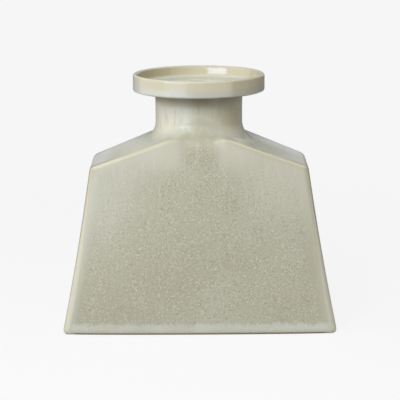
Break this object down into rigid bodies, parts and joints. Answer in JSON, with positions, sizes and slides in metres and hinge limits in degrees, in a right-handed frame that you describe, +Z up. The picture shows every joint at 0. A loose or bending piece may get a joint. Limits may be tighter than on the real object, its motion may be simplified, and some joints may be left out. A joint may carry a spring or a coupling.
{
  "type": "vase",
  "caption": "Trapezoid stoneware flask vase with pillowed front and back, sloping shoulders, a round neck and a dished rim, made to hold cut stems.",
  "frame": {"origin": "on the standing plane, under the middle of the neck", "axes": "+Z up along the neck, +X along the width, front face towards -Y"},
  "size_m": [0.256, 0.1234, 0.24],
  "materials": {
    "body_glaze": "speckled satin glaze, grey-green, thin and cream on the arrises",
    "rim_glaze": "same glaze, thinner and creamier on the lip, bluish low on the wall",
    "inside_glaze": "plain satin glaze"
  },
  "bodies": {
    "root": {"base_slab": "body_glaze", "front_wall": "body_glaze", "back_wall": "body_glaze", "left_wall": "body_glaze", "right_wall": "body_glaze", "left_shoulder": "body_glaze", "right_shoulder": "body_glaze", "neck": "body_glaze", "rim_dish": "rim_glaze", "floor_coil": "inside_glaze", "front_left_coil": "inside_glaze", "front_right_coil": "inside_glaze", "back_left_coil": "inside_glaze", "back_right_coil": "inside_glaze", "front_gable_coil": "inside_glaze", "back_gable_coil": "inside_glaze"}
  },
  "joints": []
}
